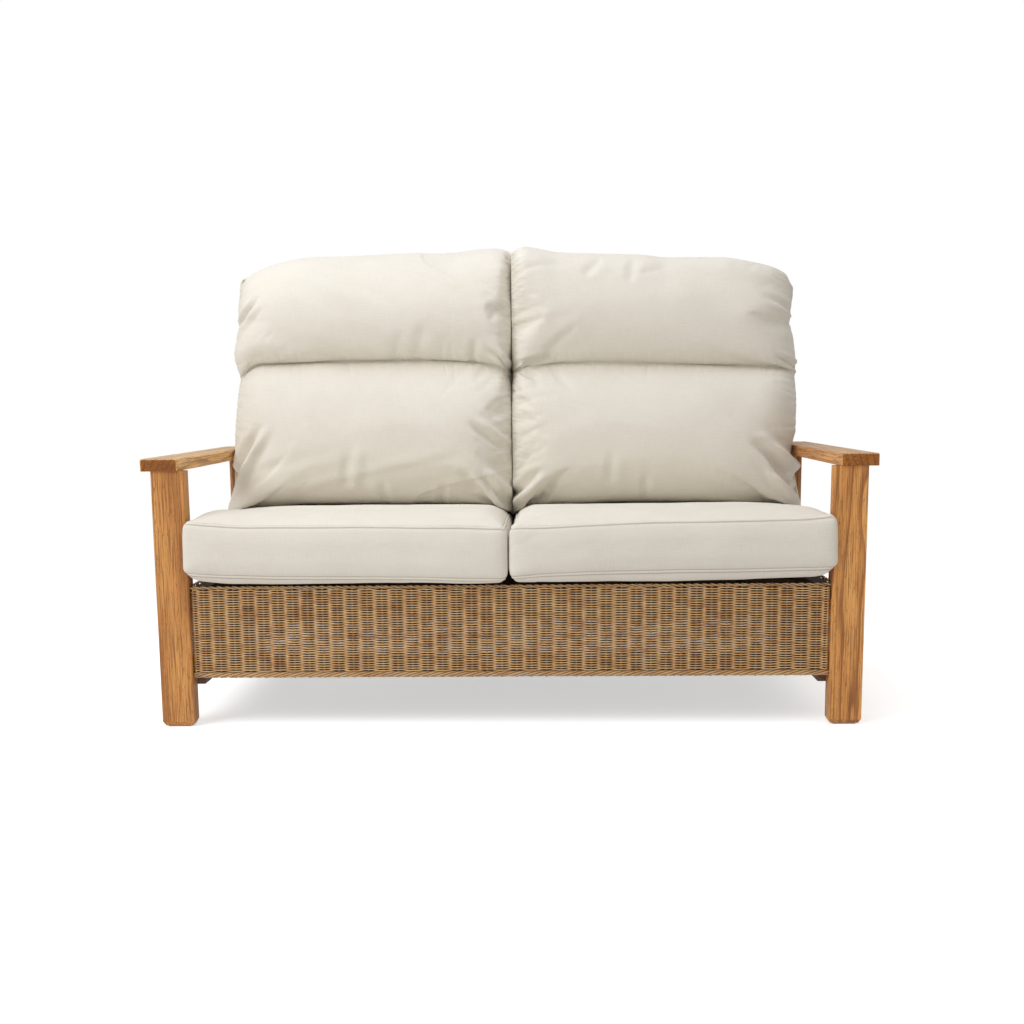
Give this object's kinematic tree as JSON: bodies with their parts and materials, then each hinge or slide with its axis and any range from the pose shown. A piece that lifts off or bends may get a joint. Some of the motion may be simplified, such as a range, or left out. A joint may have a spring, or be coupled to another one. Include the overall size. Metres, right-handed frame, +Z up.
{
  "type": "patio loveseat",
  "caption": "Teak patio loveseat with flat arms, wicker panels round the base and back, a slatted deck, and loose seat and back cushions.",
  "frame": {"origin": "on the floor, below the middle of the bounding box", "axes": "+X to the right as one looks at the front, +Y from front to back, +Z up"},
  "size_m": [1.55, 0.7844, 1.071],
  "materials": {
    "teak": "satin",
    "wicker": "matte",
    "stake_metal": "matte",
    "cushion_fabric": "matte",
    "stainless": "satin",
    "dowel_wood": "matte",
    "glide_nylon": "matte"
  },
  "bodies": {
    "frame": {"arm_dowels": "dowel_wood", "arm_left": "teak", "arm_right": "teak", "back_bolts": "stainless", "back_bottom_rail": "teak", "back_mullion": "teak", "back_stile_left": "teak", "back_stile_right": "teak", "back_support_rail": "teak", "back_top_rail": "teak", "back_washers": "stainless", "corner_block_front_left": "teak", "corner_block_front_right": "teak", "corner_block_rear_left": "teak", "corner_block_rear_right": "teak", "foot_glide_front_left": "glide_nylon", "foot_glide_front_right": "glide_nylon", "foot_glide_rear_left": "glide_nylon", "foot_glide_rear_right": "glide_nylon", "front_lower_rail": "teak", "front_post_left": "teak", "front_post_right": "teak", "front_upper_rail": "teak", "mid_bearer": "teak", "rail_dowels": "dowel_wood", "rear_lower_rail": "teak", "rear_post_left": "teak", "rear_post_right": "teak", "rear_upper_rail": "teak", "seat_back_rail": "teak", "seat_slat_01": "teak", "seat_slat_02": "teak", "seat_slat_03": "teak", "seat_slat_04": "teak", "seat_slat_05": "teak", "seat_slat_06": "teak", "seat_slat_07": "teak", "seat_slat_08": "teak", "seat_slat_09": "teak", "seat_slat_10": "teak", "side_lower_rail_left": "teak", "side_lower_rail_right": "teak", "side_upper_rail_left": "teak", "side_upper_rail_right": "teak", "slat_screws": "stainless", "stakes_back": "stake_metal", "stakes_front": "stake_metal", "stakes_left": "stake_metal", "stakes_rear": "stake_metal", "stakes_right": "stake_metal", "wicker_back_left": "wicker", "wicker_back_right": "wicker", "wicker_front": "wicker", "wicker_left": "wicker", "wicker_rear": "wicker", "wicker_right": "wicker"},
    "seat_cushion_left": {"seat_cushion_left": "cushion_fabric"},
    "seat_cushion_right": {"seat_cushion_right": "cushion_fabric"},
    "back_cushion_left": {"back_cushion_left": "cushion_fabric"},
    "back_cushion_right": {"back_cushion_right": "cushion_fabric"}
  },
  "joints": [
    {"name": "lift_back_cushion_left", "type": "slide", "parent": "frame", "child": "back_cushion_left", "axis": [0, 0.1788, 0.9839], "range_m": [0, 0.6]},
    {"name": "lift_back_cushion_right", "type": "slide", "parent": "frame", "child": "back_cushion_right", "axis": [0, 0.1788, 0.9839], "range_m": [0, 0.6]},
    {"name": "pull_seat_cushion_left", "type": "slide", "parent": "frame", "child": "seat_cushion_left", "axis": [0, -1, 0], "range_m": [0, 0.64]},
    {"name": "pull_seat_cushion_right", "type": "slide", "parent": "frame", "child": "seat_cushion_right", "axis": [0, -1, 0], "range_m": [0, 0.64]}
  ]
}
